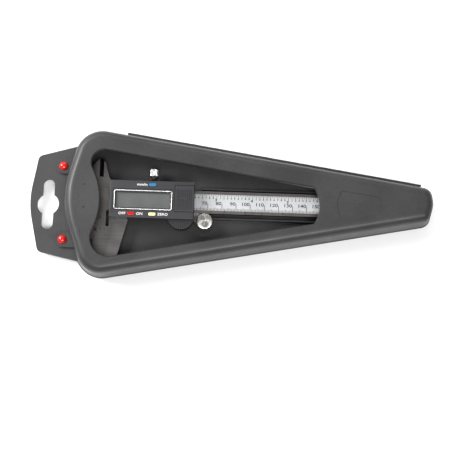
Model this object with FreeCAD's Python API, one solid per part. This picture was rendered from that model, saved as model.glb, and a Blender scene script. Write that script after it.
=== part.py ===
import FreeCAD, Part
import math
import os

# A 150 mm digital caliper lying in its hinged hang-up case. Millimetres, +Z up.
# While a piece is made, x = 0 is the line where the jaws meet, y = 0 is the beam's centre line
# and z = 0 is the underside of the case. Every piece is moved by ORIGIN when it is written,
# so that the finished part's origin lies under the middle of the case.

V = FreeCAD.Vector
UP = V(0, 0, 1)
ORIGIN = V(-87.32, 3.25, 0)

# ---- case ----
CASE_RIM_Z = 8.0
CASE_TOP_Z = 27.0
CASE_FLOOR = 1.8
BASE_WALL = 1.8
BASE_DRAFT = 1.4
LID_WALL = 1.5
LID_SKIN = 1.8
LID_LEDGE = 0.4
LID_DRAFT = 1.4
LID_ROUNDING = 5.8
WINDOW_LIP = 1.3
WINDOW_LIP_Z = 23.0
WINDOW_EDGE = 0.6
NOTCH_H = 5.0
TAB_THICKNESS = 3.0

# Case outline at the rim, anticlockwise: corner x, y and rounding radius.
CASE_CORNERS = [
    (-19.8, 51.3, 21.0),
    (-34.2, -3.0, 69.0),
    (-14.6, -58.9, 18.5),
    (227.1, -12.1, 8.0),
    (231.0, 2.0, 22.0),
    (227.8, 14.2, 8.5),
]
TAB_CORNERS = [
    (-12.0, 42.0, 2.0),
    (-51.3, 30.6, 4.0),
    (-56.7, -3.2, 62.0),
    (-48.6, -38.4, 4.0),
    (-12.0, -46.2, 2.0),
]
WINDOW_CORNERS = [
    (-18.1, 35.1, 9.2),
    (0.2, -2.1, 48.0),
    (-16.7, -46.9, 12.8),
    (145.0, -15.5, 1.2),
    (152.0, -2.8, 23.0),
    (145.0, 9.9, 1.2),
]
LABEL_CORNERS = [
    (163.6, 8.5, 1.5),
    (159.0, -2.0, 18.0),
    (164.2, -13.3, 1.5),
    (188.8, -9.2, 3.5),
    (192.4, -2.0, 11.0),
    (190.0, 4.6, 2.5),
]
LABEL_DEPTH = 0.5

HANG_HOLE = V(-42.9, -4.1, 0)
HANG_HOLE_D = 15.5
HANG_LOBE_W = 8.3
HANG_LOBE_SPAN = 36.0

RIVETS = {"rivet_upper": V(-33.0, 23.3, 0), "rivet_lower": V(-31.1, -29.6, 0)}
RIVET_HEAD_D = 6.4
RIVET_HEAD_H = 2.3
RIVET_SHANK_D = 4.0
RIVET_TIP_Z = 3.6
LUG_R = 5.4
LUG_TOP_Z = 10.2

HINGE_START = V(11.6, 48.45, CASE_RIM_Z)
HINGE_END = V(222.0, 16.95, CASE_RIM_Z)
HINGE_KNUCKLES = 9
KNUCKLE_R = 1.3
KNUCKLE_GAP = 0.4
HINGE_COVER_Z = (9.4, 10.1)
HINGE_PIN_D = 1.2
HINGE_BORE_ROOM = 0.05

# ---- caliper ----
BEAM_W = 16.0
BEAM_T = 3.5
BEAM_Z = 8.0
BEAM_FACE_Z = BEAM_Z + BEAM_T
BEAM_END = 219.5
HEAD_LEFT = -15.5
JAW_TIP_Y = -48.0
JAW_FACE_TOP_Y = -19.3
INSIDE_EDGE_X = -4.2
BLADE_SPLIT_Z = 9.75
BLADE_ROOM = 0.05
RAIL_ROOM = 0.05

GRID_W = 11.6
GRID_START = 4.0
GRID_END = 216.0
GRID_T = 0.6
SCALE_PLATE_T = 0.4

ROD_W = 2.9
ROD_T = 1.4
ROD_GROOVE_W = 3.3
ROD_GROOVE_T = 1.6

HOUSING_X = (2.1, 61.3)
HOUSING_Y = (-14.5, 12.2)
HOUSING_TOP_Z = 21.5
HOUSING_WALL = 1.5
FRAME_WEB_Z = (11.7, 13.0)
RAIL_TOP_Y = (9.2, 12.2)
RAIL_LOW_Y = (-11.5, -8.05)
SENSOR_X = (8.0, 58.0)
SENSOR_Y = (-6.5, 6.5)
BACK_PLATE_Z = (6.7, 7.9)

DISPLAY_X = (5.0, 46.0)
DISPLAY_Y = (-8.7, 5.4)
DISPLAY_RIM = 1.5

BUTTONS = {
    "button_mm_inch": V(31.9, 9.3, 0),
    "button_on_off": V(17.4, -11.6, 0),
    "button_zero": V(32.2, -11.6, 0),
}
BUTTON_L = 5.0
BUTTON_W = 2.2
BUTTON_ROOM = 0.1

COVER_X = (47.5, 61.3)
COVER_Y = (-9.4, 9.6)
COVER_T = 1.9
TONGUE = 0.8
PORT_X = (48.2, 61.3)
PORT_Y = (10.7, 12.2)
PORT_Z = (14.0, 21.5)
SLIDE_ROOM = 0.1

BATTERY_D = 11.6
BATTERY_T = 5.4
BATTERY_AT = V(53.4, -0.6, 13.3)

ROLLER_AT = V(68.8, -13.9, 8.3)
ROLLER_R = 5.8
ROLLER_H = 5.0
ROLLER_PIN_D = 2.4
ROLLER_TEETH = 40

LOCK_SCREW_X = 32.1
LOCK_SCREW_Z = 10.3
LOCK_HEAD_D = 6.4
LOCK_HEAD_Y = (17.4, 22.8)
LOCK_STEM_D = 2.8

SCREW_PLACES = [(6.5, 10.6), (44.5, 10.6), (6.5, -9.8), (57.5, -9.8)]
SCREW_D = 1.8
SCREW_HEAD_D = 3.2
POST_D = 4.0
GIB_SCREW_X = [16.0, 50.0]
GIB_SCREW_D = 2.0


# ---- helpers ----

def outline(corners, inset=0.0, z=0.0):
    """Closed wire through corners given anticlockwise as x, y, radius, moved inwards by inset."""
    count = len(corners)
    points = [V(x, y, z) for x, y, radius in corners]
    steps = [(points[(i + 1) % count] - points[i]).normalize() for i in range(count)]
    inward = [V(-step.y, step.x, 0) for step in steps]
    bends = []
    for i in range(count):
        before, after = steps[i - 1], steps[i]
        n1, n2 = inward[i - 1], inward[i]
        corner = points[i] + (n1 + n2) * (inset / (1 + n1.dot(n2)))
        turn = math.atan2(before.cross(after).z, before.dot(after))
        side = math.copysign(1.0, turn)
        radius = max(corners[i][2] - side * inset, 0.05)
        reach = radius * math.tan(abs(turn) / 2)
        start = corner - before * reach
        end = corner + after * reach
        centre = start + n1 * (side * radius)
        middle = centre + (corner - centre).normalize() * radius
        bends.append((start, middle, end))
    edges = []
    for i in range(count):
        start, middle, end = bends[i]
        next_start = bends[(i + 1) % count][0]
        if (next_start - end).dot(steps[i]) <= 0:
            raise ValueError("rounding radii are too large at corner " + str(i))
        edges.append(Part.Arc(start, middle, end).toShape())
        edges.append(Part.LineSegment(end, next_start).toShape())
    return Part.Wire(edges)


def slab(corners, z0, z1, inset=0.0):
    return Part.Face(outline(corners, inset, z0)).extrude(UP * (z1 - z0))


def tapered(corners, z0, z1, inset0, inset1):
    lower = outline(corners, inset0, z0)
    upper = outline(corners, inset1, z1)
    return Part.makeLoft([lower, upper], True, True)


def dome_levels(z0, z1, inset0, inset1, rounding, steps=8):
    """Heights and insets up a drafted wall that ends in a quarter round."""
    levels = [(z0, inset0)]
    for i in range(steps + 1):
        angle = math.pi / 2 * i / steps
        rise = rounding * math.sin(angle)
        run = rounding * (1 - math.cos(angle))
        levels.append((z1 - rounding + rise, inset1 + run))
    return levels


def stacked(corners, levels):
    """Drafted slabs on top of each other, one between each pair of (z, inset) levels."""
    layers = []
    for (z0, inset0), (z1, inset1) in zip(levels, levels[1:]):
        layers.append(tapered(corners, z0, z1, inset0, inset1))
    return layers[0].multiFuse(layers[1:])


def polygon(points, z0, z1):
    wire = Part.makePolygon([V(x, y, z0) for x, y in points + points[:1]])
    return Part.Face(wire).extrude(UP * (z1 - z0))


def block(xs, ys, zs):
    return Part.makeBox(xs[1] - xs[0], ys[1] - ys[0], zs[1] - zs[0], V(xs[0], ys[0], zs[0]))


def rod_z(x, y, z0, z1, diameter):
    return Part.makeCylinder(diameter / 2, z1 - z0, V(x, y, z0), UP)


def rod_y(x, z, y0, y1, diameter):
    return Part.makeCylinder(diameter / 2, y1 - y0, V(x, y0, z), V(0, 1, 0))


def edges_at(shape, z):
    return [e for e in shape.Edges if abs(e.BoundBox.ZMin - z) < 1e-3 and abs(e.BoundBox.ZMax - z) < 1e-3]


def joined(shapes):
    return shapes[0].multiFuse(shapes[1:]).removeSplitter()


def grown(span, amount):
    return (span[0] - amount, span[1] + amount)


# ---- hinge ----

def hinge_station(index):
    """Start and end of one knuckle on the hinge line, a gap apart from its neighbours."""
    along = (HINGE_END - HINGE_START).normalize()
    pitch = (HINGE_END - HINGE_START).Length / HINGE_KNUCKLES
    start = HINGE_START + along * (pitch * index + KNUCKLE_GAP / 2)
    return start, start + along * (pitch - KNUCKLE_GAP)


def knuckle(index, web_depth, above):
    """A tube on the hinge line with a web that ties it to its shell's wall."""
    start, end = hinge_station(index)
    along = end - start
    tube = Part.makeCylinder(KNUCKLE_R, along.Length, start, along)
    inward = V(along.y, -along.x, 0).normalize() * web_depth
    rise = UP * (HINGE_COVER_Z[0] - CASE_RIM_Z + 0.1 if above else -KNUCKLE_R)
    face = Part.Face(Part.makePolygon([start, start + inward, start + inward + rise, start + rise, start]))
    return tube.fuse(face.extrude(along))


def hinge_cover(web_depth):
    """Strip along the lid's lower edge that hides the knuckles from above."""
    along = HINGE_END - HINGE_START
    inward = V(along.y, -along.x, 0).normalize()
    level = UP * (HINGE_COVER_Z[0] - CASE_RIM_Z)
    near = HINGE_START + inward * web_depth + level
    far = HINGE_START - inward * (KNUCKLE_R - 0.2) + level
    face = Part.Face(Part.makePolygon([near, far, far + along, near + along, near]))
    return face.extrude(UP * (HINGE_COVER_Z[1] - HINGE_COVER_Z[0]))


def hinge_bore(diameter):
    along = HINGE_END - HINGE_START
    return Part.makeCylinder(diameter / 2, along.Length, HINGE_START, along)


def hinge_pin():
    return hinge_bore(HINGE_PIN_D)


# ---- case ----

def hang_hole():
    """Round hole with a lobe above and below it, for a single or a double peg hook."""
    centre = rod_z(HANG_HOLE.x, HANG_HOLE.y, 0, CASE_TOP_Z, HANG_HOLE_D)
    reach = (HANG_LOBE_SPAN - HANG_LOBE_W) / 2
    lobes = block((HANG_HOLE.x - HANG_LOBE_W / 2, HANG_HOLE.x + HANG_LOBE_W / 2),
                  (HANG_HOLE.y - reach, HANG_HOLE.y + reach), (0, CASE_TOP_Z))
    ends = [rod_z(HANG_HOLE.x, HANG_HOLE.y + side * reach, 0, CASE_TOP_Z, HANG_LOBE_W) for side in (-1, 1)]
    return joined([centre, lobes] + ends)


def nest():
    """Pads and ribs on the base's floor that carry and locate the caliper."""
    low = CASE_FLOOR / 2
    head_pad = block((-13.5, -2.0), (-7.0, 7.0), (low, BEAM_Z))
    jaw_pad = block((-9.0, -3.0), (-38.0, -22.0), (low, BEAM_Z))
    head_wall = block((-18.0, -15.8), (-9.0, 9.0), (low, BEAM_FACE_Z))
    end_pad = block((211.6, 220.5), (-10.6, 10.6), (low, BEAM_Z - 1.1))
    end_posts = [block((212.5, 218.0), (min(a, b), max(a, b)), (low, BEAM_FACE_Z))
                 for a, b in ((8.2, 10.0), (-8.2, -10.0))]
    ribs = [block((66.0, 213.0), (min(a, b), max(a, b)), (low, 6.2))
            for a, b in ((10.0, 11.2), (-10.0, -11.2))]
    return [head_pad, jaw_pad, head_wall, end_pad] + end_posts + ribs


def case_base():
    shell = tapered(CASE_CORNERS, 0, CASE_RIM_Z, BASE_DRAFT, 0)
    hollow = tapered(CASE_CORNERS, CASE_FLOOR, CASE_RIM_Z + 0.01,
                     BASE_WALL + BASE_DRAFT * 0.78, BASE_WALL)
    tab = slab(TAB_CORNERS, CASE_RIM_Z - TAB_THICKNESS, CASE_RIM_Z)
    body = joined([shell, tab]).cut(hollow)
    knuckles = [knuckle(i, 2.6, False) for i in range(0, HINGE_KNUCKLES, 2)]
    body = joined([body] + nest() + knuckles)
    holes = [rod_z(at.x, at.y, 0, CASE_RIM_Z + 1, RIVET_SHANK_D + 1.0) for at in RIVETS.values()]
    return body.cut(hang_hole()).cut(hinge_bore(HINGE_PIN_D)).cut(Part.makeCompound(holes))


def rivet_lug(at):
    """Flat ear on the lid's end wall that lies on the hang tab and takes a rivet."""
    disc = rod_z(at.x, at.y, CASE_RIM_Z, LUG_TOP_Z, 2 * LUG_R)
    arm = block((at.x, at.x + 9.5), (at.y - LUG_R, at.y + LUG_R), (CASE_RIM_Z, LUG_TOP_Z))
    return disc.fuse(arm)


def case_lid():
    foot, head = LID_LEDGE, LID_LEDGE + LID_DRAFT
    outer = stacked(CASE_CORNERS, dome_levels(CASE_RIM_Z, CASE_TOP_Z, foot, head, LID_ROUNDING))
    hollow = stacked(CASE_CORNERS, dome_levels(CASE_RIM_Z - 0.01, CASE_TOP_Z - LID_SKIN, foot + LID_WALL,
                                               head + LID_WALL - 0.2, LID_ROUNDING - LID_WALL))
    lip = slab(WINDOW_CORNERS, WINDOW_LIP_Z, CASE_TOP_Z - 0.5, -WINDOW_LIP)
    window = slab(WINDOW_CORNERS, WINDOW_LIP_Z - 1, CASE_TOP_Z + 1)
    label = slab(LABEL_CORNERS, CASE_TOP_Z - LABEL_DEPTH, CASE_TOP_Z + 1)
    lugs = [rivet_lug(at) for at in RIVETS.values()]
    knuckles = [knuckle(i, 3.2, True) for i in range(1, HINGE_KNUCKLES, 2)]
    body = joined([outer] + lugs).cut(hollow)
    body = joined([body, lip, hinge_cover(3.2)] + knuckles).cut(window).cut(label)
    dimples = [rod_z(x, y, CASE_TOP_Z - 0.5, CASE_TOP_Z + 1, 1.8) for x, y in ((-15.1, 7.0), (-14.7, -9.2))]
    gate = rod_z(177.0, -1.4, CASE_TOP_Z - LABEL_DEPTH - 0.3, CASE_TOP_Z, 1.4)
    rivet_holes = [rod_z(at.x, at.y, 0, CASE_TOP_Z, RIVET_SHANK_D + 0.1) for at in RIVETS.values()]
    notch = block((215.0, 235.0), (-7.0, 7.0), (CASE_RIM_Z - 1, CASE_RIM_Z + NOTCH_H))
    window_edge = tapered(WINDOW_CORNERS, CASE_TOP_Z - WINDOW_EDGE, CASE_TOP_Z + 0.01, 0, -WINDOW_EDGE)
    cuts = dimples + [window_edge, gate, notch, hinge_bore(HINGE_PIN_D + 2 * HINGE_BORE_ROOM)] + rivet_holes
    for cut in cuts:
        body = body.cut(cut)
    return body


def rivet(at):
    """Push rivet: domed head and a shank that runs through the lug and the tab."""
    sphere_r = (RIVET_HEAD_D ** 2 / 4 + RIVET_HEAD_H ** 2) / (2 * RIVET_HEAD_H)
    ball = Part.makeSphere(sphere_r, V(at.x, at.y, LUG_TOP_Z + RIVET_HEAD_H - sphere_r))
    head = ball.common(rod_z(at.x, at.y, LUG_TOP_Z, LUG_TOP_Z + 10, 20))
    shank = rod_z(at.x, at.y, RIVET_TIP_Z, LUG_TOP_Z, RIVET_SHANK_D)
    return joined([head, shank])


# ---- beam ----

def beam():
    """Beam, fixed outside jaw and the back half of the inside jaws, in one piece of steel."""
    half = BEAM_W / 2
    strip = block((0, BEAM_END), (-half, half), (BEAM_Z, BEAM_FACE_Z))
    jaw = polygon([(0.5, half), (HEAD_LEFT + 2, half), (HEAD_LEFT, half - 2), (HEAD_LEFT, -9.0),
                   (-14.2, -15.5), (-8.2, -37.5), (-4.4, -46.9), (-3.0, JAW_TIP_Y), (0, JAW_TIP_Y),
                   (0, JAW_FACE_TOP_Y), (-0.9, JAW_FACE_TOP_Y), (-0.9, -half), (0.5, -half)],
                  BEAM_Z, BEAM_FACE_Z)
    blade = polygon([(1.8, half - 1), (1.8, 10.0), (-3.2, 27.0), (INSIDE_EDGE_X, 28.0),
                     (INSIDE_EDGE_X, 15.6), (-9.0, 14.0), (HEAD_LEFT + 2, half - 1)],
                    BEAM_Z, BLADE_SPLIT_Z - BLADE_ROOM)
    body = joined([strip, jaw, blade])
    grid_bed = block((GRID_START, GRID_END), (-GRID_W / 2, GRID_W / 2),
                     (BEAM_FACE_Z - GRID_T - SCALE_PLATE_T, BEAM_FACE_Z + 1))
    groove = block((10.0, BEAM_END + 1), (-ROD_GROOVE_W / 2, ROD_GROOVE_W / 2),
                   (BEAM_Z - 1, BEAM_Z + ROD_GROOVE_T))
    screw_holes = [rod_z(x, y, BEAM_Z - 1, BEAM_Z + 2, 1.6) for x, y in END_SCREWS]
    return body.cut(grid_bed).cut(groove).cut(Part.makeCompound(screw_holes))


END_SCREWS = [(216.5, -4.5), (216.5, 4.5)]


def grid_strip():
    low = BEAM_FACE_Z - GRID_T - SCALE_PLATE_T
    return block((GRID_START, GRID_END), (-GRID_W / 2, GRID_W / 2), (low, low + GRID_T))


def scale_plate():
    return block((GRID_START, GRID_END), (-GRID_W / 2, GRID_W / 2),
                 (BEAM_FACE_Z - SCALE_PLATE_T, BEAM_FACE_Z))


def end_stop():
    plate = block((213.5, BEAM_END), (-7.0, 7.0), (BEAM_Z - 1.1, BEAM_Z))
    holes = [rod_z(x, y, BEAM_Z - 2, BEAM_Z + 1, 2.9) for x, y in END_SCREWS]
    return plate.cut(Part.makeCompound(holes))


def end_stop_screws():
    screws = []
    for x, y in END_SCREWS:
        head = rod_z(x, y, BEAM_Z - 1.1, BEAM_Z, 2.9)
        screws.append(head.fuse(rod_z(x, y, BEAM_Z, BEAM_Z + 2, 1.6)))
    return Part.makeCompound(screws)


# ---- slider ----

def slider_frame():
    """Steel slider: moving jaws, two rails beside the beam and a web over its face."""
    top_rail = block((2.6, HOUSING_X[1]), RAIL_TOP_Y, (BEAM_Z, FRAME_WEB_Z[1]))
    low_rail = block((2.6, HOUSING_X[1]), RAIL_LOW_Y, (BEAM_Z, FRAME_WEB_Z[1]))
    web = block(HOUSING_X, (RAIL_LOW_Y[0], RAIL_TOP_Y[1]), FRAME_WEB_Z)
    web = web.cut(block(SENSOR_X, SENSOR_Y, grown(FRAME_WEB_Z, 1)))
    jaw = polygon([(1.3, -8.05), (1.3, JAW_FACE_TOP_Y), (0, JAW_FACE_TOP_Y), (0, JAW_TIP_Y),
                   (2.8, JAW_TIP_Y), (4.2, -46.9), (8.5, -38.6), (14.9, -13.5), (18.5, -8.05)],
                  BEAM_Z, BEAM_FACE_Z)
    blade_low = BLADE_SPLIT_Z + BLADE_ROOM
    tip_y = 29.2
    root_y = 16.2
    blade = polygon([(3.4, 8.1), (3.4, 12.2), (-0.2, root_y), (INSIDE_EDGE_X, root_y), (INSIDE_EDGE_X, tip_y),
                     (-7.6, tip_y), (-11.6, 24.4), (-12.6, 15.0), (-10.6, 8.1)], blade_low, BEAM_FACE_Z)
    bevel_start = INSIDE_EDGE_X - 2.9
    knife_z = blade_low + 0.15
    bevel = Part.Face(Part.makePolygon([V(x, root_y, z) for x, z in (
        (bevel_start, BEAM_FACE_Z), (0, BEAM_FACE_Z), (0, knife_z), (INSIDE_EDGE_X, knife_z),
        (bevel_start, BEAM_FACE_Z))]))
    blade = blade.cut(bevel.extrude(V(0, 20, 0)))
    body = joined([top_rail, low_rail, web, jaw, blade])
    holes = [rod_z(x, y, 0, 30, SCREW_D) for x, y in SCREW_PLACES]
    holes += [rod_y(x, LOCK_SCREW_Z, 8, 14, GIB_SCREW_D) for x in GIB_SCREW_X]
    holes.append(rod_y(LOCK_SCREW_X, LOCK_SCREW_Z, 8, 14, LOCK_STEM_D + 0.1))
    for hole in holes:
        body = body.cut(hole)
    return body


def gib_strip():
    return block((4.0, 60.0), (BEAM_W / 2 + RAIL_ROOM, RAIL_TOP_Y[0]), (8.3, 11.4))


def gib_screws():
    screws = []
    for x in GIB_SCREW_X:
        body = rod_y(x, LOCK_SCREW_Z, RAIL_TOP_Y[0], RAIL_TOP_Y[1], GIB_SCREW_D)
        slot = block((x - 1.2, x + 1.2), (RAIL_TOP_Y[1] - 0.5, RAIL_TOP_Y[1] + 1),
                     (LOCK_SCREW_Z - 0.2, LOCK_SCREW_Z + 0.2))
        screws.append(body.cut(slot))
    return Part.makeCompound(screws)


def back_plate():
    """Plate behind the beam, with the ear that carries the thumb roller's pin."""
    plate = block((3.0, 61.0), (-11.0, 12.0), BACK_PLATE_Z)
    neck = polygon([(58.0, -11.0), (58.0, -4.0), (62.5, -4.0), (71.5, -10.5), (71.5, -17.0), (66.0, -17.0)],
                   *BACK_PLATE_Z)
    ear = rod_z(ROLLER_AT.x, ROLLER_AT.y, BACK_PLATE_Z[0], BACK_PLATE_Z[1], 8.0)
    body = joined([plate, neck, ear])
    body = body.cut(rod_z(ROLLER_AT.x, ROLLER_AT.y, 0, 20, ROLLER_PIN_D))
    for x, y in SCREW_PLACES:
        body = body.cut(rod_z(x, y, 0, 20, SCREW_HEAD_D))
    return body


def slider_screws():
    """Four screws that clamp the back plate, the slider frame and the housing together."""
    screws = []
    for x, y in SCREW_PLACES:
        head = rod_z(x, y, BACK_PLATE_Z[0], BACK_PLATE_Z[1] + 0.1, SCREW_HEAD_D)
        shank = rod_z(x, y, BACK_PLATE_Z[1], 17.5, SCREW_D)
        slot = block((x - 2, x + 2), (y - 0.2, y + 0.2), (BACK_PLATE_Z[0] - 1, BACK_PLATE_Z[0] + 0.5))
        screws.append(head.fuse(shank).cut(slot))
    return Part.makeCompound(screws)


def thumb_rest():
    """Rounded grip under the housing, its front face crossed by narrow grooves."""
    left, right, low, top = 43.4, 60.9, -21.2, HOUSING_Y[0] + 1.0
    base_y = HOUSING_Y[0]
    crown = V((left + right) / 2, low, 11.6)
    chord = Part.Arc(V(right, base_y, 11.6), crown, V(left, base_y, 11.6)).toShape()
    sides = Part.makePolygon([V(left, base_y, 11.6), V(left, top, 11.6), V(right, top, 11.6),
                              V(right, base_y, 11.6)])
    pad = Part.Face(Part.Wire([chord] + sides.Edges)).extrude(UP * 7.4)
    groove_pitch = 1.5
    for i in range(11):
        x = left + 1.0 + i * groove_pitch
        pad = pad.cut(block((x, x + 0.7), (low - 1, base_y - 0.2), (18.1, 19.5)))
    return pad


def housing():
    """Plastic shell over the slider, open to the right for the battery cover."""
    (x0, x1), (y0, y1) = HOUSING_X, HOUSING_Y
    wall = HOUSING_WALL
    shell = block((x0, x1), (y0, y1), (FRAME_WEB_Z[1], HOUSING_TOP_Z))
    shell = shell.makeFillet(1.2, [e for e in shell.Edges if e.BoundBox.ZLength > 5])
    shell = shell.makeFillet(0.5, edges_at(shell, HOUSING_TOP_Z))
    shell = shell.cut(block((x0 + wall, x1 - wall), (y0 + wall, y1 - wall),
                            (FRAME_WEB_Z[1] - 1, HOUSING_TOP_Z - wall)))
    skirt = block((x0 + 1.2, x1 - 1.2), (y0, y0 + wall), (BEAM_FACE_Z + 0.1, FRAME_WEB_Z[1] + 1))
    posts = [rod_z(x, y, FRAME_WEB_Z[1], HOUSING_TOP_Z - 1, POST_D) for x, y in SCREW_PLACES]
    posts = [post.cut(block((0, 80), (y1 - 0.4, y1 + 5), (0, 30))) for post in posts]
    bar = block((COVER_X[0] - 2.0, COVER_X[0] - 0.2), (y0 + 1, y1 - 1),
                (HOUSING_TOP_Z - 2.2, HOUSING_TOP_Z - 1))
    port_wall = block((PORT_X[0] - 1.4, x1), (PORT_Y[0] - 0.9, PORT_Y[0] - SLIDE_ROOM),
                      (FRAME_WEB_Z[1], HOUSING_TOP_Z))
    body = joined([shell, skirt, thumb_rest(), bar, port_wall] + posts)
    cover_bed = block((COVER_X[0] - SLIDE_ROOM, x1 + 1), grown(COVER_Y, SLIDE_ROOM),
                      (HOUSING_TOP_Z - COVER_T - SLIDE_ROOM, HOUSING_TOP_Z + 1))
    cover_slots = block((COVER_X[0] - SLIDE_ROOM, x1 + 1), grown(COVER_Y, TONGUE + SLIDE_ROOM - 0.2),
                        (HOUSING_TOP_Z - COVER_T - SLIDE_ROOM, HOUSING_TOP_Z - COVER_T + TONGUE))
    port_bed = block((PORT_X[0] - SLIDE_ROOM, x1 + 1), (PORT_Y[0] - SLIDE_ROOM, y1 + 1),
                     (PORT_Z[0] - SLIDE_ROOM, HOUSING_TOP_Z + 1))
    recess = block(grown(DISPLAY_X, 1.0), grown(DISPLAY_Y, 1.0), (HOUSING_TOP_Z - 0.5, HOUSING_TOP_Z + 1))
    opening = block(grown(DISPLAY_X, -DISPLAY_RIM), grown(DISPLAY_Y, -DISPLAY_RIM), (15, HOUSING_TOP_Z + 1))
    cuts = [cover_bed, cover_slots, port_bed, recess, opening]
    for at in BUTTONS.values():
        cuts.append(button_shape(at, BUTTON_ROOM, HOUSING_TOP_Z - 5, HOUSING_TOP_Z + 1))
    cuts += [rod_z(x, y, 0, 17.5, SCREW_D) for x, y in SCREW_PLACES]
    for cut in cuts:
        body = body.cut(cut)
    return body


def display_frame():
    ring = block(DISPLAY_X, DISPLAY_Y, (HOUSING_TOP_Z - 0.5, HOUSING_TOP_Z + 0.15))
    ring = ring.makeFillet(0.8, [e for e in ring.Edges if e.BoundBox.ZLength > 0.5])
    return ring.cut(block(grown(DISPLAY_X, -DISPLAY_RIM), grown(DISPLAY_Y, -DISPLAY_RIM), (0, 30)))


def display_window():
    return block(grown(DISPLAY_X, -DISPLAY_RIM), grown(DISPLAY_Y, -DISPLAY_RIM),
                 (HOUSING_TOP_Z - 1.5, HOUSING_TOP_Z - 0.4))


def lcd_panel():
    return block(grown(DISPLAY_X, -DISPLAY_RIM - 0.1), grown(DISPLAY_Y, -DISPLAY_RIM - 0.1), (17.6, 19.6))


def contact_strips():
    """Two striped rubber bars that connect the board to the edge of the display glass."""
    return Part.makeCompound([block((8.0, 43.0), (y, y + 2.0), (14.1, 17.6)) for y in (-6.6, 1.2)])


def circuit_board():
    board = block((4.0, 46.6), (-12.6, 8.4), (FRAME_WEB_Z[1] + 0.1, 14.1))
    board = board.fuse(block((4.0, 42.0), (8.3, 10.5), (FRAME_WEB_Z[1] + 0.1, 14.1)))
    sensor = block(grown(SENSOR_X, -0.3), grown(SENSOR_Y, -0.2), (BEAM_FACE_Z + 0.12, FRAME_WEB_Z[1] + 0.1))
    body = joined([board, sensor])
    for x, y in SCREW_PLACES:
        body = body.cut(rod_z(x, y, FRAME_WEB_Z[1] + 0.01, 20, POST_D + 0.4))
    return body


def button_pads():
    """Rubber domes on the board, one under each button."""
    pads = []
    for at in BUTTONS.values():
        foot = block((at.x - 2.4, at.x + 2.4), (at.y - 1.0, at.y + 1.0), (14.1, 14.7))
        dome = Part.makeCone(1.0, 0.7, 0.9, V(at.x, at.y, 14.7))
        pads.append(joined([foot, dome]))
    return Part.makeCompound(pads)


def button_shape(at, room, z0, z1):
    """Upright prism with rounded ends, the outline of a push button grown by room."""
    half = BUTTON_L / 2 + room
    width = BUTTON_W / 2 + room
    corners = [(at.x - half, at.y + width, 0.8), (at.x - half, at.y - width, 0.8),
               (at.x + half, at.y - width, 0.8), (at.x + half, at.y + width, 0.8)]
    return slab(corners, z0, z1)


def button(at):
    cap = button_shape(at, 0, HOUSING_TOP_Z - HOUSING_WALL - 1.0, HOUSING_TOP_Z + 0.5)
    cap = cap.makeFillet(0.3, edges_at(cap, HOUSING_TOP_Z + 0.5))
    flange = button_shape(at, 0.25, HOUSING_TOP_Z - HOUSING_WALL - 1.0, HOUSING_TOP_Z - HOUSING_WALL - 0.1)
    stem = rod_z(at.x, at.y, 16.3, HOUSING_TOP_Z - HOUSING_WALL, 1.4)
    return joined([cap, flange, stem])


def battery():
    can = Part.makeCylinder(BATTERY_D / 2, BATTERY_T - 0.6, BATTERY_AT + UP * 0.6, UP)
    can = can.makeFillet(0.4, edges_at(can, BATTERY_AT.z + BATTERY_T))
    return can.fuse(Part.makeCylinder(BATTERY_D / 2 - 1.2, 0.6, BATTERY_AT, UP)).removeSplitter()


def battery_contact():
    """Sprung leaf over the cell, with a foot down to the frame beside it."""
    top = BATTERY_AT.z + BATTERY_T
    leaf = block((46.9, 56.0), (-1.8, 0.6), (top, top + 0.25))
    foot = block((46.9, 47.15), (-1.8, 0.6), (14.1, top + 0.1))
    toe = block((46.0, 47.15), (-1.8, 0.6), (14.1, 14.3))
    return joined([leaf, foot, toe])


def battery_cover():
    """Sliding cover with side tongues and a ribbed push field."""
    top = HOUSING_TOP_Z
    plate = block(COVER_X, COVER_Y, (top - COVER_T, top))
    plate = plate.makeChamfer(0.35, edges_at(plate, top))
    tongues = block((COVER_X[0], COVER_X[1] - 1.0), grown(COVER_Y, TONGUE - 0.2),
                    (top - COVER_T, top - COVER_T + TONGUE - 0.1))
    body = joined([plate, tongues])
    rib_pitch = 1.4
    for i in range(8):
        x = 49.2 + i * rib_pitch
        body = body.cut(block((x, x + 0.6), (-7.6, 6.4), (top - 0.45, top + 1)))
    return body


def port_cover():
    """Small sliding cover over the data socket, its top edge serrated."""
    body = block(PORT_X, PORT_Y, PORT_Z)
    for i in range(9):
        x = PORT_X[0] + 1.2 + i * 1.2
        body = body.cut(block((x, x + 0.5), (PORT_Y[1] - 0.5, PORT_Y[1] + 1), (15.0, 22.0)))
    return body


def thumb_roller():
    """Knurled roller that runs on the beam's lower edge."""
    x, y, z = ROLLER_AT
    disc = Part.makeCylinder(ROLLER_R, ROLLER_H, ROLLER_AT, UP)
    rims = [e for e in disc.Edges if e.BoundBox.ZLength < 1e-3 and e.BoundBox.XLength > 1]
    disc = disc.makeFillet(0.5, rims)
    notches = []
    for i in range(ROLLER_TEETH):
        angle = 2 * math.pi * i / ROLLER_TEETH
        at = ROLLER_AT + V(math.cos(angle), math.sin(angle), 0) * (ROLLER_R + 0.12)
        notches.append(Part.makeCylinder(0.3, ROLLER_H, at, UP))
    dish = Part.makeCylinder(ROLLER_R - 1.5, 0.3, V(x, y, z + ROLLER_H - 0.3), UP)
    bore = rod_z(x, y, 0, 30, ROLLER_PIN_D + 0.1)
    return disc.cut(Part.makeCompound(notches)).cut(dish).cut(bore)


def roller_pin():
    return rod_z(ROLLER_AT.x, ROLLER_AT.y, BACK_PLATE_Z[0], ROLLER_AT.z + ROLLER_H - 0.4, ROLLER_PIN_D)


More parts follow.
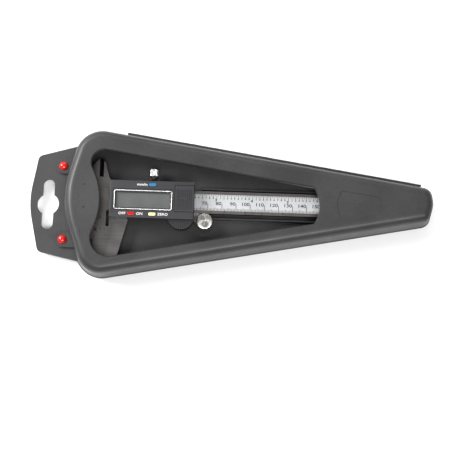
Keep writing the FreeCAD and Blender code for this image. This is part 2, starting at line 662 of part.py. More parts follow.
def lock_screw():
    """Thumb screw with a knurled head, turned to clamp the slider through the gib."""
    y0, y1 = LOCK_HEAD_Y
    head = rod_y(LOCK_SCREW_X, LOCK_SCREW_Z, y0, y1, LOCK_HEAD_D)
    head = head.makeFillet(0.4, [e for e in head.Edges if e.BoundBox.YLength < 1e-3])
    for i in range(20):
        angle = 2 * math.pi * i / 20
        x = LOCK_SCREW_X + math.cos(angle) * (LOCK_HEAD_D / 2 + 0.1)
        z = LOCK_SCREW_Z + math.sin(angle) * (LOCK_HEAD_D / 2 + 0.1)
        head = head.cut(rod_y(x, z, y0, y1, 0.6))
    collar = rod_y(LOCK_SCREW_X, LOCK_SCREW_Z, RAIL_TOP_Y[1] + 3.0, y0, 4.4)
    stem = rod_y(LOCK_SCREW_X, LOCK_SCREW_Z, RAIL_TOP_Y[0] + 0.3, y0, LOCK_STEM_D)
    return joined([head, collar, stem])


def depth_rod():
    """Flat rod in the beam's back groove, held at its left end on the back plate."""
    low = BEAM_Z + 0.1
    bar = block((50.0, BEAM_END), (-ROD_W / 2, ROD_W / 2), (low, low + ROD_T))
    foot = block((50.0, 58.0), (-ROD_W / 2, ROD_W / 2), (BACK_PLATE_Z[1], low))
    return joined([bar, foot])


# ---- writing ----

def all_parts():
    parts = {
        "case_base": case_base(),
        "case_lid": case_lid(),
        "hinge_pin": hinge_pin(),
        "beam": beam(),
        "grid_strip": grid_strip(),
        "scale_plate": scale_plate(),
        "end_stop": end_stop(),
        "end_stop_screws": end_stop_screws(),
        "slider_frame": slider_frame(),
        "gib_strip": gib_strip(),
        "gib_screws": gib_screws(),
        "back_plate": back_plate(),
        "slider_screws": slider_screws(),
        "depth_rod": depth_rod(),
        "housing": housing(),
        "display_frame": display_frame(),
        "display_window": display_window(),
        "lcd_panel": lcd_panel(),
        "contact_strips": contact_strips(),
        "circuit_board": circuit_board(),
        "button_pads": button_pads(),
        "battery": battery(),
        "battery_contact": battery_contact(),
        "battery_cover": battery_cover(),
        "port_cover": port_cover(),
        "thumb_roller": thumb_roller(),
        "roller_pin": roller_pin(),
        "lock_screw": lock_screw(),
    }
    for name, at in RIVETS.items():
        parts[name] = rivet(at)
    for name, at in BUTTONS.items():
        parts[name] = button(at)
    return parts


def main():
    os.makedirs("parts", exist_ok=True)
    whole = FreeCAD.BoundBox()
    for name, shape in all_parts().items():
        shape.translate(ORIGIN)
        whole.add(shape.BoundBox)
        print(name, "solids", len(shape.Solids), "valid", shape.isValid(), "mm3", round(shape.Volume, 1))
        shape.exportStep("parts/" + name + ".step")
    print("box", whole)


main()
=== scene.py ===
import math
import bmesh
import bpy
import numpy as np
from mathutils import Matrix, Vector


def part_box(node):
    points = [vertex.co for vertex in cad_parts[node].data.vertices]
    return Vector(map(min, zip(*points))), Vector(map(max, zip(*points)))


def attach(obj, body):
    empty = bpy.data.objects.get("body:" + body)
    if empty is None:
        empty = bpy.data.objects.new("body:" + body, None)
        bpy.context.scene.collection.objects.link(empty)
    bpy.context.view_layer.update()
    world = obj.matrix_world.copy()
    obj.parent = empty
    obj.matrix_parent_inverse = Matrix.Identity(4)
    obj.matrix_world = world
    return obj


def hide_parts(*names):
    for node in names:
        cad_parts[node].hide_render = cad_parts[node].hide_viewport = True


# A 150 mm digital caliper in its hinged hang-up case: finishes, printed scale, fluted and turned
# parts, studio and camera. Metres, in the same frame as the case: +X along the beam, +Z out of
# the lid's window.

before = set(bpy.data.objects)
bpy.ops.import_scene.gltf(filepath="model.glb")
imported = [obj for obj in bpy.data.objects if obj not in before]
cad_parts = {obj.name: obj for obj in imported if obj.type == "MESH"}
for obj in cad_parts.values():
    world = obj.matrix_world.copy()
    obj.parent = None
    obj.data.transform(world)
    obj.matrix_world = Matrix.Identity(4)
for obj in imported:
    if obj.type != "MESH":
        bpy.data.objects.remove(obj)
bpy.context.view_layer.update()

MM = 0.001
INCH = 25.4 * MM
PRINT_THICKNESS = 0.02 * MM
WELD = 0.001 * MM           # points closer than this become one
PLATE_START = 4.0 * MM      # the scale plate starts this far right of the line where the jaws meet
PRINT_OFFSET = 0.8 * MM     # the printed zero's distance from that line
BLADE_ROOT = 13.0 * MM      # the knife bevels, painted near black as shade, start this far in from the beam piece's +Y end
GRINDING = (60.0, 9000.0, 9000.0)       # noise scale that draws long lines along X
# near black painted on the knife bevels as shade
BEVEL_PAINTED_SHADE = (0.006, 0.006, 0.008, 1)


# ---- small helpers ----

def corners(node):
    """Lowest and highest corner of a CAD node's box."""
    low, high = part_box(node)
    return Vector(low), Vector(high)


def middle(node):
    low, high = corners(node)
    return (low + high) / 2


def linked(name, mesh):
    """An object at the origin that shows the mesh."""
    piece = bpy.data.objects.new(name, mesh)
    bpy.context.collection.objects.link(piece)
    return piece


def close_up(solid, mesh):
    """Weld the points that meet, turn every face outward and write the result to mesh."""
    bmesh.ops.remove_doubles(solid, verts=solid.verts, dist=WELD)
    bmesh.ops.recalc_face_normals(solid, faces=solid.faces)
    solid.to_mesh(mesh)
    solid.free()


def mesh_object(name, points, faces, smooth=True):
    """A closed mesh object at the origin, from an array of points and the corners of each face."""
    mesh = bpy.data.meshes.new(name)
    mesh.from_pydata(np.asarray(points).tolist(), [], list(faces))
    solid = bmesh.new()
    solid.from_mesh(mesh)
    close_up(solid, mesh)
    mesh.polygons.foreach_set("use_smooth", np.full(len(mesh.polygons), smooth))
    return linked(name, mesh)


def finished(piece, material, body, slot, *replaced):
    """The piece with its material, its body and the CAD nodes that it replaces; slot is not used."""
    piece.data.materials.clear()
    piece.data.materials.append(material)
    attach(piece, body)
    if replaced:
        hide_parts(*replaced)
    return piece


def grid_faces(rows, columns):
    """Quads of a grid of rows by columns points, closed round the columns."""
    r, c = np.meshgrid(np.arange(rows - 1), np.arange(columns), indexing="ij")
    near, far = r * columns, (r + 1) * columns
    after = (c + 1) % columns
    return np.stack([near + c, near + after, far + after, far + c], -1).reshape(-1, 4)


# ---- shader expressions ----

class Signal:
    """A number that varies over a surface. Arithmetic on it adds Math nodes."""

    def __init__(self, shader, socket):
        self.shader = shader
        self.socket = socket

    def math(self, operation, *values):
        return self.shader.node("ShaderNodeMath", {"operation": operation}, dict(enumerate(values)))

    def __add__(self, other):
        return self.math("ADD", self, other)

    __radd__ = __add__

    def __sub__(self, other):
        return self.math("SUBTRACT", self, other)

    def __rsub__(self, other):
        return self.math("SUBTRACT", other, self)

    def __mul__(self, other):
        return self.math("MULTIPLY", self, other)

    __rmul__ = __mul__

    def __pow__(self, other):
        return self.math("POWER", self, other)

    def step(self, low, high):
        """0 below low, 1 above high, smooth between them."""
        values = {"Value": self, "From Min": low, "From Max": high}
        return self.shader.node("ShaderNodeMapRange", {"interpolation_type": "SMOOTHSTEP"}, values)


class Shader:
    """One material: its Principled shader, its object coordinates and a way to add any node."""

    def __init__(self, name, **constants):
        self.material = bpy.data.materials.new(name)
        self.material.use_nodes = True
        self.tree = self.material.node_tree
        self.surface = self.tree.nodes["Principled BSDF"]
        for socket, value in constants.items():
            self.surface.inputs[socket.replace("_", " ")].default_value = value
        self.place = self.node("ShaderNodeTexCoord", {}, {}, "Object")

    def node(self, kind, settings, values, output=0):
        """One output of a new node. A value is a constant or the signal linked to that input."""
        made = self.tree.nodes.new(kind)
        for key, value in settings.items():
            setattr(made, key, value)
        for key, value in values.items():
            if isinstance(value, Signal):
                self.tree.links.new(value.socket, made.inputs[key])
            else:
                made.inputs[key].default_value = value
        return Signal(self, made.outputs[output])

    def feed(self, socket, signal):
        self.tree.links.new(signal.socket, self.surface.inputs[socket])

    def stretched(self, scale):
        """Object coordinates times a scale for each axis."""
        return self.node("ShaderNodeMapping", {}, {"Vector": self.place, "Scale": scale})

    def noise(self, scale, detail=2.0, where=None):
        """Noise around 0.5 whose lumps are 1 / scale metres across."""
        values = {"Vector": where or self.place, "Scale": scale, "Detail": detail}
        return self.node("ShaderNodeTexNoise", {}, values)

    def mix(self, factor, a, b):
        """Colour a where factor is 0 and colour b where it is 1."""
        return self.node("ShaderNodeMix", {"data_type": "RGBA"}, {0: factor, 6: a, 7: b}, 2)

    def axis(self, index):
        """Object coordinate 0, 1 or 2 in metres."""
        return self.node("ShaderNodeSeparateXYZ", {}, {0: self.place}, index)

    def above(self, index, place, fade=0.00003):
        """1 where coordinate index is over place, 0 under it."""
        return self.axis(index).step(place - fade, place + fade)

    def bump(self, height, strength, distance):
        values = {"Height": height, "Strength": strength, "Distance": distance}
        return self.node("ShaderNodeBump", {}, values)

    def ground(self):
        """Fine grinding lines along X, and a shade that mixes them with soft stains."""
        lines = self.noise(1.0, 2.0, self.stretched(GRINDING))
        stains = self.noise(90.0, 4.0)
        return lines, (lines * 0.55 + stains * 0.45).step(0.36, 0.66)


def grained_plastic(name, dark, light, roughness, grain_scale=1500.0, grain=0.45):
    """Moulded plastic: fine spark-eroded grain, faint flow clouds and a few rubbed, glossier patches."""
    shader = Shader(name, Specular_IOR_Level=0.42)
    clouds = shader.noise(28.0, 3.0)
    grain_noise = shader.noise(grain_scale, 2.0)
    rubbed = shader.noise(70.0, 4.0).step(0.55, 0.75)
    shade = (clouds * 0.6 + grain_noise * 0.4).step(0.35, 0.68)
    shader.feed("Base Color", shader.mix(shade, (*dark, 1), (*light, 1)))
    shader.feed("Roughness", roughness + grain_noise * 0.12 - 0.06 - rubbed * 0.08)
    shader.feed("Normal", shader.bump(grain_noise, grain, 0.00006))
    return shader.material


def gloss_plastic(name, colour, roughness=0.14):
    """Smooth moulded plastic with faint sink marks and small dull spots."""
    shader = Shader(name, Specular_IOR_Level=0.45, Coat_Weight=0.2, Coat_Roughness=0.05)
    lumps = shader.noise(600.0, 2.0)
    deeper = tuple(c * 0.85 for c in colour)
    shader.feed("Base Color", shader.mix(lumps.step(0.35, 0.65), (*deeper, 1), (*colour, 1)))
    shader.feed("Roughness", roughness + shader.noise(3500.0, 3.0).step(0.5, 0.8) * 0.12)
    shader.feed("Normal", shader.bump(lumps, 0.06, 0.0001))
    return shader.material


def ground_steel(name, dark, light, roughness):
    """Ground metal: long fine grinding lines, soft stains and bright rubbed spots."""
    shader = Shader(name, Metallic=1.0)
    lines, shade = shader.ground()
    rubbed = shader.noise(320.0, 5.0).step(0.56, 0.72)
    shader.feed("Base Color", shader.mix(shade, (*dark, 1), (*light, 1)))
    shader.feed("Roughness", roughness + (lines - 0.5) * 0.22 - rubbed * 0.12)
    shader.feed("Normal", shader.bump(lines, 0.10, 0.00003))
    return shader.material


def knife_steel(name, dark, light, root, top):
    """Ground steel whose knife bevels, past root along Y and under the top face, are painted near black as
    shade.
    """
    shader = Shader(name, Metallic=1.0)
    lines, shade = shader.ground()
    # painted shade: mask of the knife bevels, past root along Y and under the top face
    bevel_shade = shader.above(1, root) * (1 - shader.above(2, top - 0.08 * MM))
    flat = shader.mix(shade, (*dark, 1), (*light, 1))
    shader.feed("Base Color", shader.mix(bevel_shade, flat, BEVEL_PAINTED_SHADE))
    shader.feed("Roughness", 0.32 + (lines - 0.5) * 0.2 + bevel_shade * 0.2)
    shader.feed("Normal", shader.bump(lines, 0.10, 0.00003))
    return shader.material


def ridge_plating(low, high):
    """Bezel finish with painted light: a bright highlight painted along the ridge, the flanks painted dark
    as shade.
    """
    shader = Shader("ridge_plating")
    # painted highlight: the top tenth of the ridge by height
    ridge = shader.above(2, low + (high - low) * 0.90, (high - low) * 0.05)
    speckle = shader.noise(1800.0, 2.0)
    # painted shade on the flanks
    dark = shader.mix(speckle, (0.030, 0.030, 0.032, 1), (0.045, 0.045, 0.047, 1))
    shader.feed("Base Color", shader.mix(ridge, dark, (0.80, 0.80, 0.80, 1)))
    shader.feed("Metallic", ridge)
    shader.feed("Roughness", 0.4 - ridge * 0.15 + speckle * 0.05)
    return shader.material


def turned_metal(name, centre, colour, roughness, pitch=0.00022, upright=True):
    """Lathe-turned metal: rings of one pitch about the part's own axis, along Z if upright, else Y."""
    shader = Shader(name, Metallic=1.0, Anisotropic=0.85)
    a = shader.axis(0) - centre[0]
    b = shader.axis(1) - centre[1] if upright else shader.axis(2) - centre[2]
    radius = (a * a + b * b) ** 0.5
    turns = radius * (2 * math.pi / pitch)
    rings = turns.math("SINE", turns) * 0.5 + 0.5
    speckle = shader.noise(2600.0, 3.0)
    darker = tuple(c * 0.72 for c in colour)
    shader.feed("Base Color", shader.mix(rings * 0.6 + speckle * 0.4, (*darker, 1), (*colour, 1)))
    shader.feed("Roughness", roughness + speckle * 0.08)
    shader.feed("Normal", shader.bump(rings, 0.05, 0.00001))
    return shader.material


def printed_plate():
    """Silver-white lacquered plate: satin, with a faint metallic fleck."""
    shader = Shader("silver_white_plate", Metallic=0.2, Specular_IOR_Level=0.5)
    fleck = shader.noise(5200.0, 2.0)
    clouds = shader.noise(55.0, 3.0)
    shade = (fleck * 0.5 + clouds * 0.5).step(0.36, 0.62)
    shader.feed("Base Color", shader.mix(shade, (0.39, 0.395, 0.405, 1), (0.50, 0.505, 0.515, 1)))
    shader.feed("Roughness", 0.32 + fleck * 0.16)
    shader.feed("Normal", shader.bump(fleck, 0.05, 0.00003))
    return shader.material


def print_ink(name, colour):
    """Thin screen-printed ink, a little uneven in density."""
    shader = Shader(name, Specular_IOR_Level=0.3)
    density = shader.noise(4200.0, 3.0).step(0.3, 0.6)
    paler = tuple(c * 0.7 + 0.05 for c in colour)
    shader.feed("Base Color", shader.mix(density, (*paler, 1), (*colour, 1)))
    shader.feed("Roughness", 0.45 + density * 0.1)
    return shader.material


def display_glass():
    """Blank grey-green liquid crystal glass: even, with very faint cloudy mottling."""
    shader = Shader("display_glass", Specular_IOR_Level=0.3)
    clouds = shader.noise(120.0, 2.0)
    fine = shader.noise(6000.0, 1.0)
    shader.feed("Base Color", shader.mix((clouds * 0.7 + fine * 0.3).step(0.3, 0.7),
                                         (0.118, 0.122, 0.121, 1), (0.142, 0.146, 0.145, 1)))
    shader.feed("Roughness", 0.22 + fine * 0.08)
    return shader.material


def clear_lens():
    """Clear plastic lens over the display, seen through, with soft reflections."""
    shader = Shader("clear_lens", Specular_IOR_Level=0.5, Alpha=0.16)
    haze = shader.noise(260.0, 3.0)
    shader.feed("Base Color", shader.mix(haze, (0.06, 0.065, 0.065, 1), (0.10, 0.105, 0.105, 1)))
    shader.feed("Roughness", 0.06 + haze * 0.08)
    return shader.material


def circuit_green():
    """Solder-masked board: dark green with broken lighter tracks along X on an even pitch."""
    shader = Shader("solder_mask", Specular_IOR_Level=0.5)
    rows = shader.axis(1) * 2600.0
    across = rows.math("FRACT", rows)
    tracks = across.step(0.55, 0.65) * shader.noise(160.0, 0.0).step(0.5, 0.52)
    shader.feed("Base Color", shader.mix(tracks, (0.010, 0.075, 0.030, 1), (0.03, 0.16, 0.07, 1)))
    shader.feed("Roughness", 0.3 + tracks * 0.1)
    return shader.material


def soft_rubber():
    """Matt grey silicone, faintly mottled."""
    shader = Shader("silicone_rubber", Specular_IOR_Level=0.3)
    mottled = shader.noise(1500.0, 3.0)
    shader.feed("Base Color", shader.mix(mottled, (0.10, 0.10, 0.11, 1), (0.15, 0.15, 0.16, 1)))
    shader.feed("Roughness", 0.6 + mottled * 0.15)
    return shader.material


# ---- turned and fluted pieces ----

def turned_piece(name, profile, centre, upright, turns, flute=0.0, teeth=0):
    """Surface of revolution about Z if upright, else about Y. A point is the centre plus h along the
    axis plus radius * (cos t, sin t) across it, where (h, radius, weight) comes from the profile.
    Flutes lower the radius by flute * weight * (1 - |sin(teeth * t / 2)|)."""
    profile = np.asarray(profile)
    angle = np.linspace(0, 2 * math.pi, turns, endpoint=False)
    h, t = np.meshgrid(profile[:, 0], angle, indexing="ij")
    radius = np.repeat(profile[:, 1:2], turns, axis=1)
    weight = np.repeat(profile[:, 2:3], turns, axis=1)
    radius = radius - flute * weight * (1 - np.abs(np.sin(teeth * t / 2)))
    a, b = radius * np.cos(t), radius * np.sin(t)
    if upright:
        points = np.stack([centre[0] + a, centre[1] + b, centre[2] + h], -1)
    else:
        points = np.stack([centre[0] + b, centre[1] + h, centre[2] + a], -1)
    faces = grid_faces(len(profile), turns)
    on_axis = radius.ravel() == 0
    return mesh_object(name, points.reshape(-1, 3), faces[~on_axis[faces].all(axis=1)])


def thumb_roller(material):
    """Turned disc with 90 fine flutes round its rim, a flat face with a centre dimple and a blind bore."""
    low, high = corners("thumb_roller")
    at = middle("thumb_roller")
    height = high.z - low.z
    radius = (high.x - low.x) / 2
    bore = 1.26 * MM
    edge = 0.45 * MM
    dimple, dimple_depth = 0.35 * MM, 0.12 * MM
    end_wall = 0.4 * MM
    round_in = [(0.0, radius - edge, 0.0), (edge * 0.3, radius - edge * 0.3, 0.3), (edge, radius, 1.0)]
    side = [(edge + (height - 2 * edge) * k / 12, radius, 1.0) for k in range(1, 13)]
    round_out = [(height - edge * 0.3, radius - edge * 0.3, 0.3), (height, radius - edge, 0.0)]
    face = [(height, dimple, 0.0), (height - dimple_depth, 0.0, 0.0)]
    inside = [(height - end_wall, 0.0, 0.0), (height - end_wall, bore, 0.0), (0.0, bore, 0.0)]
    profile = [(0.0, bore, 0.0)] + round_in + side + round_out + face + inside
    piece = turned_piece("thumb_roller_turned", profile, (at.x, at.y, low.z), True, 360, 0.16 * MM, 90)
    return finished(piece, material, "thumb_roller", "bright_trim", "thumb_roller")


def lock_screw(material):
    """Head with 14 straight flutes and a chamfered end, a plain collar and the stem into the slider."""
    low, high = corners("lock_screw")
    at = middle("lock_screw")
    radius = (high.x - low.x) / 2
    length = high.y - low.y
    head_length = 5.4 * MM
    head = length - head_length
    edge = 0.4 * MM
    tip, stem, stem_end, collar = 1.2 * MM, 1.4 * MM, 5.4 * MM, 2.2 * MM
    fluted = [(head + edge + (head_length - 2 * edge) * k / 24, radius, 1.0) for k in range(25)]
    profile = [(0.0, 0.0, 0.0), (0.0, tip, 0.0), (0.25 * MM, stem, 0.0), (stem_end, stem, 0.0),
               (5.5 * MM, collar, 0.0), (head - 0.05 * MM, collar, 0.0), (head, radius - edge, 0.0)]
    profile += fluted
    profile += [(length - 0.1 * MM, radius - edge * 0.7, 0.0), (length, radius - edge * 1.8, 0.0),
                (length, 0.6 * MM, 0.0), (length, 0.0, 0.0)]
    piece = turned_piece("lock_screw_knurled", profile, (at.x, low.y, at.z), False, 240, 0.6 * MM, 14)
    return finished(piece, material, "lock_screw", "bright_trim", "lock_screw")


def push_rivet(node, material):
    """Domed head, h = height * cos(a) and radius = R * sin(a), over a straight shank."""
    low, high = corners(node)
    at = middle(node)
    head_radius = (high.x - low.x) / 2
    head_height = 2.3 * MM
    shank_radius = 1.95 * MM
    seat = high.z - head_height - low.z
    sweep = np.linspace(math.pi / 2, 0, 20)
    dome = [(seat + head_height * math.cos(a), head_radius * math.sin(a), 0.0) for a in sweep]
    shank = [(0.0, 0.0, 0.0), (0.0, 1.5 * MM, 0.0), (0.4 * MM, shank_radius, 0.0),
             (seat, shank_radius, 0.0), (seat, head_radius * 0.985, 0.0)]
    piece = turned_piece(node + "_domed", shank + dome, (at.x, at.y, low.z), True, 64)
    return finished(piece, material, node, "red_plastic", node)


# ---- printing ----

def strips(name, x, y, width, height, z):
    """Flat printed bars: x, y are the lower middle of each bar, all arrays of one length."""
    x, y, width, height = np.broadcast_arrays(x, y, width, height)
    half = width / 2
    square = [(-half, 0 * height), (half, 0 * height), (half, height), (-half, height)]
    tops = [np.stack([x + dx, y + dy, np.full_like(x, z + PRINT_THICKNESS)], -1) for dx, dy in square]
    feet = [np.stack([x + dx, y + dy, np.full_like(x, z)], -1) for dx, dy in square]
    points = np.stack(tops + feet, axis=1).reshape(-1, 3)
    box = np.array([[0, 1, 2, 3], [7, 6, 5, 4], [4, 5, 1, 0],
                    [5, 6, 2, 1], [6, 7, 3, 2], [7, 4, 0, 3]])
    faces = (np.arange(len(x))[:, None, None] * 8 + box[None]).reshape(-1, 4)
    return mesh_object(name, points, faces, smooth=False)


def lettering(name, words, size, z, stretch, weight):
    """Printed words as one mesh, widened by stretch, their strokes thickened by weight. Each word is
    text, x, y and how it is aligned."""
    whole = bmesh.new()
    for text, x, y, align in words:
        curve = bpy.data.curves.new(name, "FONT")
        curve.body = text
        curve.size = size
        curve.align_x = align
        curve.align_y = "CENTER"
        curve.resolution_u = 3
        curve.offset = weight / 2
        curve.extrude = PRINT_THICKNESS / 2
        maker = bpy.data.objects.new(name, curve)
        bpy.context.collection.objects.link(maker)
        bpy.context.view_layer.update()
        mesh = bpy.data.meshes.new_from_object(maker)
        place = Matrix.Translation((x, y, z + PRINT_THICKNESS / 2))
        mesh.transform(place @ Matrix.Diagonal((stretch, 1, 1, 1)))
        whole.from_mesh(mesh)
        bpy.data.objects.remove(maker)
        bpy.data.meshes.remove(mesh)
    printed = bpy.data.meshes.new(name)
    close_up(whole, printed)
    return linked(name, printed)


def beam_scale(ink):
    """Millimetre ticks from 6 to 210 and their numbers along the lower edge, twentieths of an inch and
    their numbers along the upper. Three rows of lettering stand between the two rows of ticks."""
    low, high = corners("scale_plate")
    zero = low.x - PLATE_START + PRINT_OFFSET
    z = high.z
    y_low, y_high, y_mid = low.y, high.y, (low.y + high.y) / 2
    mm = np.arange(6, 211)
    ten, five = mm % 10 == 0, mm % 5 == 0
    tick = np.where(ten, 4.9, np.where(five, 2.2, 1.6)) * MM
    metric = strips("millimetre_ticks", zero + mm * MM, y_low, np.where(ten, 0.42, 0.36) * MM, tick, z)
    finished(metric, ink, "case", "scale_print")
    twentieth = np.arange(4, 166)
    reach = np.where(twentieth % 20 == 0, 3.6, np.where(twentieth % 2 == 0, 1.9, 1.1)) * MM
    imperial = strips("inch_ticks", zero + twentieth * INCH / 20, y_high - reach, 0.28 * MM, reach, z)
    finished(imperial, ink, "case", "scale_print")
    numbers = [(str(n), zero + (n - 0.4) * MM, y_mid - 0.75 * MM, "RIGHT") for n in range(10, 211, 10)]
    tens = lettering("millimetre_numbers", numbers, 3.3 * MM, z, 1.25, 0.14 * MM)
    finished(tens, ink, "case", "scale_print")
    inches = [(str(n), zero + n * INCH + 0.3 * MM, y_mid + 1.75 * MM, "RIGHT") for n in range(1, 9)]
    whole = lettering("inch_numbers", inches, 2.7 * MM, z, 1.3, 0.12 * MM)
    finished(whole, ink, "case", "scale_print")
    tenths = [(str(n % 10), zero + n * INCH / 10, y_mid + 3.15 * MM, "CENTER")
              for n in range(3, 83) if n % 10]
    small = lettering("inch_tenths", tenths, 1.7 * MM, z, 1.2, 0.1 * MM)
    finished(small, ink, "case", "scale_print")


def housing_printing(ink):
    """Plain words beside the buttons."""
    z = corners("housing")[1].z
    words = [("mm/in", "button_mm_inch", -1), ("OFF", "button_on_off", -1), ("ON", "button_on_off", 1),
             ("ZERO", "button_zero", 1)]
    placed = []
    for text, node, side in words:
        low, high = corners(node)
        edge = low.x if side < 0 else high.x
        placed.append((text, edge + side * 0.9 * MM, (low.y + high.y) / 2, "RIGHT" if side < 0 else "LEFT"))
    finished(lettering("housing_words", placed, 2.5 * MM, z, 1.15, 0.05 * MM), ink, "slider", "scale_print")


def display_bezel(material):
    """Plated frame round the display: a ridge profile carried round a rectangle with rounded corners.
    A station at angle t stands on the corner circle of its quarter, at the corner's centre plus
    reach * (cos t, sin t), where reach is the corner radius less the profile's inset."""
    low, high = corners("display_frame")
    height = high.z - low.z
    # each row is the inset in millimetres and the rise as a share of the height
    profile = np.array([(0.10, 0.0), (0.10, 0.55), (0.22, 0.85), (0.40, 1.0), (0.62, 0.92), (0.80, 0.6),
                        (1.42, 0.05), (1.46, 0.0), (0.10, 0.0)])
    inset, rise = profile[:, 0] * MM, profile[:, 1] * height
    round_r = 1.6 * MM
    quarter = np.linspace(0, math.pi / 2, 9)
    angle = np.concatenate([quarter + k * math.pi / 2 for k in range(4)])
    side_x = np.repeat([1, -1, -1, 1], 9)
    side_y = np.repeat([1, 1, -1, -1], 9)
    centre_x = (low.x + high.x) / 2 + side_x * ((high.x - low.x) / 2 - round_r)
    centre_y = (low.y + high.y) / 2 + side_y * ((high.y - low.y) / 2 - round_r)
    reach = round_r - inset[:, None]
    x = centre_x[None] + reach * np.cos(angle)[None]
    y = centre_y[None] + reach * np.sin(angle)[None]
    z = np.repeat(low.z + rise[:, None], len(angle), axis=1)
    points = np.stack([x, y, z], -1).reshape(-1, 3)
    piece = mesh_object("display_bezel", points, grid_faces(len(profile), len(angle))[:, ::-1])
    return finished(piece, material, "slider", "bright_trim", "display_frame")


def battery_arrow(material):
    """Raised arrow on the battery cover: a shaft and a head, a low plate with sloping sides."""
    low, high = corners("battery_cover")
    x, y, z = (low.x + high.x) / 2, (low.y + high.y) / 2, high.z - 0.3 * MM
    height = 0.45 * MM
    shape = np.array([(-2.6, -0.7), (0.2, -0.7), (0.2, -2.0), (2.8, 0.0),
                      (0.2, 2.0), (0.2, 0.7), (-2.6, 0.7)]) * MM
    foot = np.column_stack([shape[:, 0] * 1.06 + x, shape[:, 1] * 1.06 + y, np.full(7, z)])
    top = np.column_stack([shape[:, 0] * 0.92 + x, shape[:, 1] * 0.92 + y, np.full(7, z + height)])
    sides = [[i, (i + 1) % 7, 7 + (i + 1) % 7, 7 + i] for i in range(7)]
    caps = [list(range(7, 14)), list(range(6, -1, -1))]
    piece = mesh_object("battery_arrow", np.vstack([foot, top]), sides + caps, smooth=False)
    return finished(piece, material, "battery_cover", "housing_plastic")


# ---- finishes on the case and caliper ----

case_black = grained_plastic("case_plastic", (0.019, 0.0185, 0.0195), (0.034, 0.033, 0.034), 0.42)
housing_grey = grained_plastic("housing_plastic", (0.017, 0.017, 0.019), (0.027, 0.027, 0.030), 0.44,
                               3200.0, 0.12)
steel = ground_steel("beam_steel", (0.140, 0.130, 0.125), (0.21, 0.198, 0.190), 0.34)
beam_high = corners("beam")[1]
# slider steel with painted shade on its knife bevels
slider_steel = knife_steel("slider_steel", (0.140, 0.136, 0.134), (0.205, 0.200, 0.196),
                           beam_high.y - BLADE_ROOT, beam_high.z)
pin_steel = ground_steel("pin_steel", (0.05, 0.05, 0.05), (0.09, 0.09, 0.09), 0.4)
bright_steel = ground_steel("bright_steel", (0.5, 0.5, 0.5), (0.68, 0.68, 0.68), 0.25)
brass = ground_steel("brass_strip", (0.42, 0.29, 0.10), (0.62, 0.45, 0.18), 0.3)
red = gloss_plastic("red_plastic", (0.50, 0.006, 0.003))
blue = gloss_plastic("blue_plastic", (0.020, 0.155, 0.325), 0.3)
cream = gloss_plastic("cream_plastic", (0.85, 0.80, 0.40), 0.3)
green = circuit_green()
rubber = soft_rubber()
black_ink = print_ink("black_ink", (0.02, 0.02, 0.02))
white_ink = print_ink("white_ink", (0.75, 0.75, 0.75))

FINISHES = {
    case_black: ["case_base", "case_lid"],
    steel: ["beam", "end_stop", "depth_rod"],
    slider_steel: ["slider_frame", "back_plate"],
    pin_steel: ["hinge_pin"],
    bright_steel: ["gib_screws", "slider_screws", "end_stop_screws", "battery", "roller_pin"],
    brass: ["gib_strip", "battery_contact"],
    housing_grey: ["housing", "battery_cover", "port_cover"],
    green: ["circuit_board", "grid_strip"],
    rubber: ["contact_strips", "button_pads"],
    printed_plate(): ["scale_plate"],
    display_glass(): ["lcd_panel"],
    clear_lens(): ["display_window"],
    red: ["button_on_off"],
    blue: ["button_mm_inch"],
    cream: ["button_zero"],
}
for material, nodes in FINISHES.items():
    for node in nodes:
        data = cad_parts[node].data
        data.materials.clear()
        data.materials.append(material)

roller_at, screw_at = middle("thumb_roller"), middle("lock_screw")
thumb_roller(turned_metal("turned_roller", roller_at, (0.50, 0.49, 0.47), 0.26))
lock_screw(turned_metal("turned_screw", screw_at, (0.55, 0.55, 0.54), 0.25, 0.0003, False))
push_rivet("rivet_upper", red)
push_rivet("rivet_lower", red)
beam_scale(black_ink)
housing_printing(white_ink)
battery_arrow(housing_grey)
# the bezel's ridge carries a painted highlight, its flanks painted shade
bezel_low, bezel_high = corners("display_frame")
display_bezel(ridge_plating(bezel_low.z, bezel_high.z))


# ---- studio ----

def soft_light(name, place, size, power):
    """A rectangular light aimed at the origin."""
    light = bpy.data.lights.new(name, "AREA")
    light.shape = "RECTANGLE"
    light.size, light.size_y = size
    light.energy = power
    lamp = bpy.data.objects.new(name, light)
    lamp.location = place
    lamp.rotation_euler = (-Vector(place)).to_track_quat("-Z", "Y").to_euler()
    bpy.context.collection.objects.link(lamp)


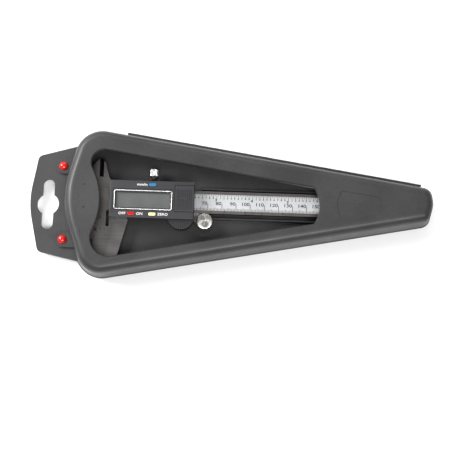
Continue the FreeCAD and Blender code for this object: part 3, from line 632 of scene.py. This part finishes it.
def studio():
    """Pale floor, white surroundings and three soft boxes, the main one from the upper left."""
    half = 3.0
    outline = [(-half, -half, 0), (half, -half, 0), (half, half, 0), (-half, half, 0)]
    square = bpy.data.meshes.new("floor")
    square.from_pydata(outline, [], [(0, 1, 2, 3)])
    floor = linked("floor", square)
    floor.location.z = -0.2 * MM
    shader = Shader("pale_floor", Specular_IOR_Level=0.1)
    soft = shader.noise(12.0, 3.0)
    shader.feed("Base Color", shader.mix(soft, (0.93, 0.93, 0.93, 1), (0.95, 0.95, 0.95, 1)))
    shader.feed("Roughness", 0.8 + soft * 0.1)
    floor.data.materials.append(shader.material)
    world = bpy.data.worlds.new("white_room")
    bpy.context.scene.world = world
    world.use_nodes = True
    background = world.node_tree.nodes["Background"]
    background.inputs["Color"].default_value = (1, 1, 1, 1)
    background.inputs["Strength"].default_value = 0.45
    soft_light("main_softbox", (-0.70, 0.30, 0.62), (0.45, 0.45), 12.2)
    soft_light("overhead_softbox", (0.10, -0.55, 1.4), (0.8, 0.4), 15.5)
    soft_light("back_softbox", (-0.2, 1.0, 0.9), (1.2, 0.5), 5.0)


def camera():
    """Nearly straight down, leaning 10 degrees to the front and turned so the beam falls to the right."""
    height = math.radians(80.0)
    roll = math.radians(1.85)
    back = Vector((0, -math.cos(height), math.sin(height)))
    up = Vector((0, math.sin(height), math.cos(height)))
    right = Vector((1, 0, 0))
    turned_up = up * math.cos(roll) - right * math.sin(roll)
    turned_right = right * math.cos(roll) + up * math.sin(roll)
    aim = Vector((-3.2, -13.3, 11.5)) * MM
    distance = 0.7532
    lens = bpy.data.cameras.new("camera")
    lens.lens = 85.0
    lens.sensor_width = 36.0
    lens.clip_start = 0.01
    view = bpy.data.objects.new("camera", lens)
    turn = Matrix((turned_right, turned_up, back)).transposed().to_4x4()
    view.matrix_world = Matrix.Translation(aim + back * distance) @ turn
    bpy.context.collection.objects.link(view)
    bpy.context.scene.camera = view


studio()
camera()
bpy.context.scene.view_settings.view_transform = "Standard"
